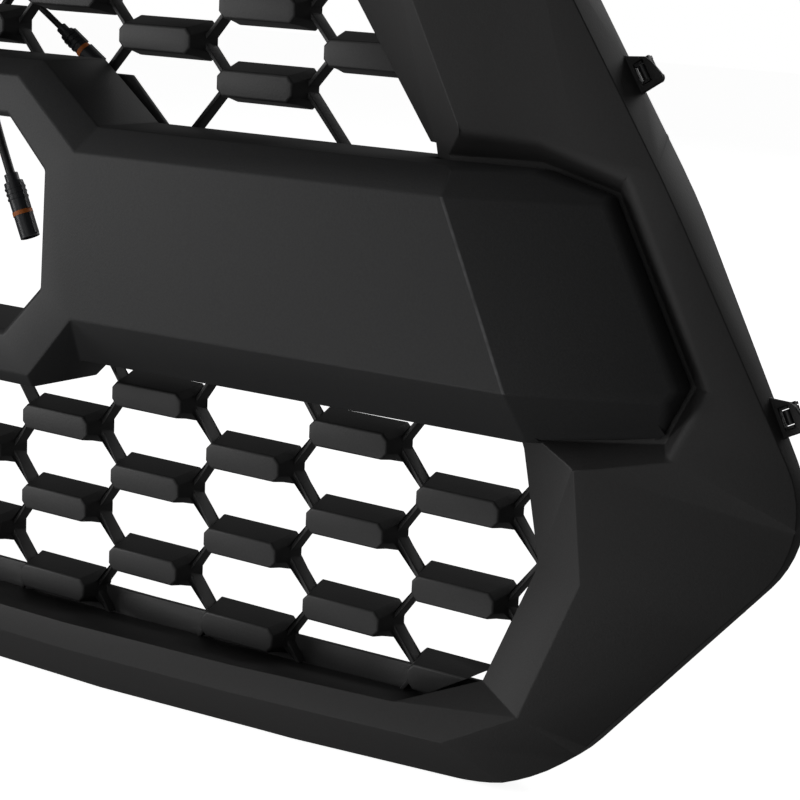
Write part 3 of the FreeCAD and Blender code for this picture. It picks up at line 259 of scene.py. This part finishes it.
def brushedMetal(name, m):
    mat, tree, links, bsdf = newMaterial(name)
    where = node(tree, "ShaderNodeTexCoord")
    marks = node(tree, "ShaderNodeTexNoise")
    marks.inputs["Scale"].default_value = m["scale"]
    marks.inputs["Detail"].default_value = m["detail"]
    links.new(where.outputs["Object"], marks.inputs["Vector"])
    tone = node(tree, "ShaderNodeValToRGB")
    tone.color_ramp.elements[0].color = (*[c * m["dark"] for c in m["colour"]], 1.0)
    tone.color_ramp.elements[1].color = (*[c * m["light"] for c in m["colour"]], 1.0)
    links.new(marks.outputs["Fac"], tone.inputs["Fac"])
    links.new(tone.outputs["Color"], bsdf.inputs["Base Color"])
    shine = node(tree, "ShaderNodeMapRange")
    shine.inputs["To Min"].default_value = m["roughness"] - m["smoother"]
    shine.inputs["To Max"].default_value = m["roughness"] + m["rougher"]
    links.new(marks.outputs["Fac"], shine.inputs["Value"])
    links.new(shine.outputs["Result"], bsdf.inputs["Roughness"])
    bump = node(tree, "ShaderNodeBump")
    bump.inputs["Strength"].default_value = m["markDepth"]
    bump.inputs["Distance"].default_value = m["markHeight"]
    links.new(marks.outputs["Fac"], bump.inputs["Height"])
    links.new(bump.outputs["Normal"], bsdf.inputs["Normal"])
    bsdf.inputs["Metallic"].default_value = 1.0
    return mat


screwFinish = {"colour": (0.09, 0.09, 0.095), "dark": 0.75, "light": 1.25, "scale": 700.0, "detail": 4.0,
               "roughness": 0.34, "smoother": 0.08, "rougher": 0.12, "markDepth": 0.2, "markHeight": 0.0001}
pinFinish = dict(screwFinish, colour=(0.72, 0.66, 0.52), roughness=0.22, scale=900.0)
screwSteel = brushedMetal("screwSteel", screwFinish)
pinMetal = brushedMetal("pinMetal", pinFinish)


def amberLens(name, m):
    mat, tree, links, bsdf = newMaterial(name)
    where = node(tree, "ShaderNodeTexCoord")
    flutes = node(tree, "ShaderNodeTexWave", bands_direction="X")     # fine upright flutes
    flutes.inputs["Scale"].default_value = m["fluteScale"]
    flutes.inputs["Distortion"].default_value = 0.0
    links.new(where.outputs["Object"], flutes.inputs["Vector"])
    haze = node(tree, "ShaderNodeTexNoise")
    haze.inputs["Scale"].default_value = m["hazeScale"]
    links.new(where.outputs["Object"], haze.inputs["Vector"])
    tone = node(tree, "ShaderNodeValToRGB")
    tone.color_ramp.elements[0].color = (*m["deep"], 1.0)
    tone.color_ramp.elements[1].color = (*m["clear"], 1.0)
    links.new(haze.outputs["Fac"], tone.inputs["Fac"])
    links.new(tone.outputs["Color"], bsdf.inputs["Base Color"])
    shine = node(tree, "ShaderNodeMapRange")
    shine.inputs["To Min"].default_value = m["roughness"][0]
    shine.inputs["To Max"].default_value = m["roughness"][1]
    links.new(haze.outputs["Fac"], shine.inputs["Value"])
    links.new(shine.outputs["Result"], bsdf.inputs["Roughness"])
    bump = node(tree, "ShaderNodeBump")
    bump.inputs["Strength"].default_value = m["fluteDepth"]
    bump.inputs["Distance"].default_value = m["fluteHeight"]
    links.new(flutes.outputs["Fac"], bump.inputs["Height"])
    links.new(bump.outputs["Normal"], bsdf.inputs["Normal"])
    bsdf.inputs["Transmission Weight"].default_value = m["clearness"]
    bsdf.inputs["IOR"].default_value = m["ior"]
    return mat


lensFinish = {"deep": (0.72, 0.26, 0.02), "clear": (0.90, 0.42, 0.05), "hazeScale": 160.0,
              "fluteScale": 110.0, "fluteDepth": 0.5, "fluteHeight": 0.0003,
              "roughness": (0.05, 0.16), "clearness": 0.75, "ior": 1.49}
lensAmber = amberLens("lensAmber", lensFinish)


def cableJacket(name, m):
    mat, tree, links, bsdf = newMaterial(name)
    where = node(tree, "ShaderNodeTexCoord")
    scuff = node(tree, "ShaderNodeTexNoise")
    scuff.inputs["Scale"].default_value = m["scuffScale"]
    scuff.inputs["Detail"].default_value = m["scuffDetail"]
    links.new(where.outputs["Object"], scuff.inputs["Vector"])
    tone = node(tree, "ShaderNodeValToRGB")
    tone.color_ramp.elements[0].position = m["scuffRange"][0]
    tone.color_ramp.elements[1].position = m["scuffRange"][1]
    tone.color_ramp.elements[0].color = (*m["colour"], 1.0)
    tone.color_ramp.elements[1].color = (*m["scuffed"], 1.0)
    links.new(scuff.outputs["Fac"], tone.inputs["Fac"])
    links.new(tone.outputs["Color"], bsdf.inputs["Base Color"])
    shine = node(tree, "ShaderNodeMapRange")
    shine.inputs["To Min"].default_value = m["roughness"][0]
    shine.inputs["To Max"].default_value = m["roughness"][1]
    links.new(scuff.outputs["Fac"], shine.inputs["Value"])
    links.new(shine.outputs["Result"], bsdf.inputs["Roughness"])
    bump = node(tree, "ShaderNodeBump")
    bump.inputs["Strength"].default_value = m["scuffDepth"]
    bump.inputs["Distance"].default_value = m["scuffHeight"]
    links.new(scuff.outputs["Fac"], bump.inputs["Height"])
    links.new(bump.outputs["Normal"], bsdf.inputs["Normal"])
    return mat


jacketFinish = {"colour": (0.012, 0.012, 0.013), "scuffed": (0.035, 0.034, 0.034), "scuffScale": 240.0,
                "scuffDetail": 5.0, "scuffRange": (0.4, 0.75), "scuffDepth": 0.25, "scuffHeight": 0.0002,
                "roughness": (0.34, 0.56)}
jacketRubber = cableJacket("jacketRubber", jacketFinish)
print("materials made")

# pigtail cables, from the lamps' glands down into the emblem hole
cableRight = {"diameter": 0.0052, "length": 0.2340, "exit": (0.1011, -0.001288, -0.0427), "steps": (
    (0.0, 0.0, 0.0), (-0.018, 0.0, 0.0), (-0.045, 0.006, -0.0008), (-0.073, 0.013, -0.0028),
    (-0.100, 0.018, -0.0098), (-0.121, 0.018, -0.0263), (-0.1316, 0.0145, -0.0498),
    (-0.131, 0.0113, -0.0743), (-0.122, 0.0103, -0.0993), (-0.110, 0.0103, -0.1253))}
cableLeft = {"diameter": 0.0036, "length": 0.1404, "exit": (-0.1011, -0.001288, -0.0427), "steps": (
    (0.0, 0.0, 0.0), (0.018, 0.0, 0.0), (0.042, 0.004, -0.0008), (0.065, 0.0065, -0.0043),
    (0.087, 0.0065, -0.0128), (0.109, 0.0075, -0.0248), (0.130, 0.0103, -0.0403))}
cableCurve = {"aroundSteps": 5, "alongSteps": 14, "order": 3}


def hangCable(name, c, cadNode):
    curve = bpy.data.curves.new(name, "CURVE")
    curve.dimensions = "3D"
    curve.bevel_depth = c["diameter"] / 2.0
    curve.bevel_resolution = cableCurve["aroundSteps"]
    curve.resolution_u = cableCurve["alongSteps"]
    curve.use_fill_caps = True
    line = curve.splines.new("NURBS")
    line.points.add(len(c["steps"]) - 1)
    for point, step in zip(line.points, c["steps"]):
        place = Vector(c["exit"]) + Vector(step)
        point.co = (*place, 1.0)
    line.order_u = cableCurve["order"]
    line.use_endpoint_u = True
    cable = bpy.data.objects.new(name, curve)
    bpy.context.collection.objects.link(cable)
    cable.data.materials.append(jacketRubber)
    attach(cable, "grille")
    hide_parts(cadNode)


hangCable("cableRight", cableRight, "cable_right")
hangCable("cableLeft", cableLeft, "cable_left")
print("cables hung")


# mouldings: a copy of each plain body is given the soft edges of a mould
def roundedEdges(body, s):
    # the edges that are rounded, each with its share of the widest radius
    mesh = body.data
    beside = {}
    for face in mesh.polygons:
        for key in face.edge_keys:
            beside.setdefault(key, []).append(face)
    weights = mesh.attributes.new("bevel_weight_edge", "FLOAT", "EDGE")
    for edge in mesh.edges:
        faces = beside.get(edge.key, [])
        ends = [mesh.vertices[v].co for v in edge.vertices]
        if len(faces) != 2 or (ends[1] - ends[0]).length < s["shortest"]:
            continue
        first, second = faces
        if first.normal.angle(second.normal, 0.0) < math.radians(s["angle"]):
            continue
        share = s["edge"] / s["widest"]
        middle = (ends[0] + ends[1]) / 2.0
        convex = (second.center - first.center).dot(first.normal) < 0.0
        for zone in s["zones"]:
            low, high = sorted((first.normal.y, second.normal.y))
            inside = all(a < abs(v) < b for v, (a, b) in zip(middle, zone["box"]))
            if convex and inside and low < zone["front"] and zone["side"][0] < high < zone["side"][1]:
                share = zone["edge"] / s["widest"]
        weights.data[edge.index].value = share


def softened(name, cadNode, material, s):
    bpy.ops.object.select_all(action="DESELECT")
    source = nodes[cadNode]
    body = bpy.data.objects.new(name, source.data.copy())
    bpy.context.collection.objects.link(body)
    bpy.context.view_layer.objects.active = body
    body.select_set(True)
    body.data.materials.clear()
    body.data.materials.append(material)
    bpy.ops.object.mode_set(mode="EDIT")
    bpy.ops.mesh.select_all(action="SELECT")
    bpy.ops.mesh.remove_doubles(threshold=s["weld"])
    bpy.ops.mesh.customdata_custom_splitnormals_clear()
    bpy.ops.mesh.faces_shade_flat()
    bpy.ops.mesh.mark_sharp(clear=True)
    bpy.ops.object.mode_set(mode="OBJECT")
    roundedEdges(body, s)
    edge = body.modifiers.new("edge", "BEVEL")
    edge.width = s["widest"]
    edge.segments = s["segments"]
    edge.limit_method = "WEIGHT"
    edge.use_clamp_overlap = False
    edge.loop_slide = False
    edge.miter_outer = "MITER_SHARP"
    bpy.ops.object.modifier_apply(modifier="edge")
    # what the rounding pushes past the plain body's box is set back onto it
    places = [v.co for v in source.data.vertices]
    low = [min(p[i] for p in places) for i in range(3)]
    high = [max(p[i] for p in places) for i in range(3)]
    for vertex in body.data.vertices:
        vertex.co = [min(max(vertex.co[i], low[i]), high[i]) for i in range(3)]
    bpy.ops.object.shade_smooth_by_angle(angle=math.radians(s["smooth"]))
    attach(body, source["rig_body"])
    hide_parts(cadNode)
    print(name, len(body.data.polygons), "faces")
    return body


# a zone's box holds distances from the origin, and its front and side are limits for the two faces' normals
recessMouth = {"box": ((0.29, 0.475), (0.0, 0.08), (0.10, 0.250)), "front": -0.85, "side": (-0.85, -0.3),
               "edge": 0.0040}
barEnd = {"box": ((0.345, 0.46), (0.0, 0.08), (0.11, 0.27)), "front": -0.6, "side": (-0.3, 0.3),
          "edge": 0.0030}
surroundEdges = {"edge": 0.0006, "widest": 0.0040, "segments": 3, "angle": 24.0, "shortest": 0.0015,
                 "smooth": 30.0, "weld": 0.00001, "zones": [recessMouth]}
crossbarEdges = dict(surroundEdges, edge=0.0010, widest=0.0030, angle=12.0, zones=[barEnd])
meshEdges = dict(surroundEdges, edge=0.0005, widest=0.0005, segments=2, shortest=0.0020, zones=[])
surroundBody = softened("surroundBody", "surround", surroundPlastic, surroundEdges)
crossbarBody = softened("crossbarBody", "crossbar", crossbarPlastic, crossbarEdges)
upperMeshBody = softened("upperMeshBody", "upper_mesh", meshPlastic, meshEdges)
lowerMeshBody = softened("lowerMeshBody", "lower_mesh", meshPlastic, meshEdges)
print("mouldings softened")

# small parts keep their own bodies and take a finish
finishes = {"upper_mesh_screws": screwSteel, "lower_mesh_screws": screwSteel,
            "crossbar_end_screws": screwSteel}
for side in ("right", "left"):
    for level in ("upper", "lower"):
        finishes["clip_" + level + "_" + side] = clipNylon
        finishes["clip_tongue_" + level + "_" + side] = tongueNylon
    finishes["lamp_housing_" + side] = lampHousingPlastic
    finishes["lamp_lens_" + side] = lensAmber
    finishes["lamp_board_" + side] = boardMask
    finishes["connector_" + side] = plugPlastic
    finishes["connector_seal_" + side] = sealRubber
    finishes["connector_pins_" + side] = pinMetal
for name, finish in finishes.items():
    nodes[name].data.materials.clear()
    nodes[name].data.materials.append(finish)
print("small parts finished")

# studio: pale floor, white surroundings, soft boxes at the left, in front, below, above and behind
studio = {"floorSize": 12.0, "floorDrop": 0.0005, "floorColour": (0.80, 0.80, 0.80), "floorGlow": 0.90,
          "floorRoughness": 0.9, "blotchScale": 3.0, "blotchShade": 0.98, "surround": 0.10, "white": 1.0}
whiteLight = (1.0, 1.0, 1.0, 1.0)
floorHeight = cadBox[0].z - studio["floorDrop"]
bpy.ops.object.select_all(action="DESELECT")
bpy.ops.mesh.primitive_plane_add(size=studio["floorSize"], location=(0.0, 0.0, floorHeight))
floor = bpy.context.object
floor.name = "studioFloor"
floorMat, floorTree, floorLinks, floorBsdf = newMaterial("floorPaint")
floorNoise = node(floorTree, "ShaderNodeTexNoise")
floorNoise.inputs["Scale"].default_value = studio["blotchScale"]
floorWhere = node(floorTree, "ShaderNodeTexCoord")
floorLinks.new(floorWhere.outputs["Object"], floorNoise.inputs["Vector"])
floorTone = node(floorTree, "ShaderNodeValToRGB")
floorTone.color_ramp.elements[0].color = (*[c * studio["blotchShade"] for c in studio["floorColour"]], 1.0)
floorTone.color_ramp.elements[1].color = (*studio["floorColour"], 1.0)
floorLinks.new(floorNoise.outputs["Fac"], floorTone.inputs["Fac"])
floorLinks.new(floorTone.outputs["Color"], floorBsdf.inputs["Base Color"])
floorBsdf.inputs["Roughness"].default_value = studio["floorRoughness"]
floorBsdf.inputs["Emission Color"].default_value = whiteLight
floorBsdf.inputs["Emission Strength"].default_value = studio["floorGlow"]
floor.visible_diffuse = False      # the lit floor doesn't light the grille
floor.visible_glossy = False
floor.visible_shadow = False       # the low box shines up through it
floor.data.materials.append(floorMat)

world = bpy.data.worlds.new("studioWorld")
bpy.context.scene.world = world
world.use_nodes = True
worldTree = world.node_tree.nodes
worldLinks = world.node_tree.links
sky = worldTree["Background"]
sky.inputs["Color"].default_value = whiteLight
sky.inputs["Strength"].default_value = studio["surround"]
seen = node(worldTree, "ShaderNodeBackground")
seen.inputs["Color"].default_value = whiteLight
seen.inputs["Strength"].default_value = studio["white"]
path = node(worldTree, "ShaderNodeLightPath")
either = node(worldTree, "ShaderNodeMixShader")
worldLinks.new(path.outputs["Is Camera Ray"], either.inputs["Fac"])
worldLinks.new(sky.outputs["Background"], either.inputs[1])       # what lights the grille
worldLinks.new(seen.outputs["Background"], either.inputs[2])      # what the camera sees behind it
worldLinks.new(either.outputs["Shader"], worldTree["World Output"].inputs["Surface"])

softBoxes = [
    {"name": "keyBox", "place": (-1.5, -1.3, -0.1), "aim": (0.2, 0.0, -0.25), "size": 1.0, "power": 17.0},
    {"name": "fillBox", "place": (0.6, -2.4, -0.1), "aim": (0.2, 0.0, -0.25), "size": 1.6, "power": 4.5},
    {"name": "lowBox", "place": (-0.2, -1.1, -1.2), "aim": (0.2, 0.0, -0.2), "size": 0.9, "power": 4.5},
    {"name": "topBox", "place": (-0.2, -1.0, 1.0), "aim": (0.2, 0.0, -0.2), "size": 0.9, "power": 1.8},
    {"name": "backBox", "place": (0.5, 2.4, 0.9), "aim": (0.0, 0.0, -0.25), "size": 1.6, "power": 14.0},
]
for b in softBoxes:
    bpy.ops.object.light_add(type="AREA", location=b["place"])
    lamp = bpy.context.object
    lamp.name = b["name"]
    lamp.data.shape = "SQUARE"
    lamp.data.size = b["size"]
    lamp.data.energy = b["power"]
    lamp.rotation_mode = "QUATERNION"
    lamp.rotation_quaternion = (Vector(b["aim"]) - Vector(b["place"])).to_track_quat("-Z", "Y")
bpy.context.scene.view_settings.view_transform = "Standard"
print("studio set")
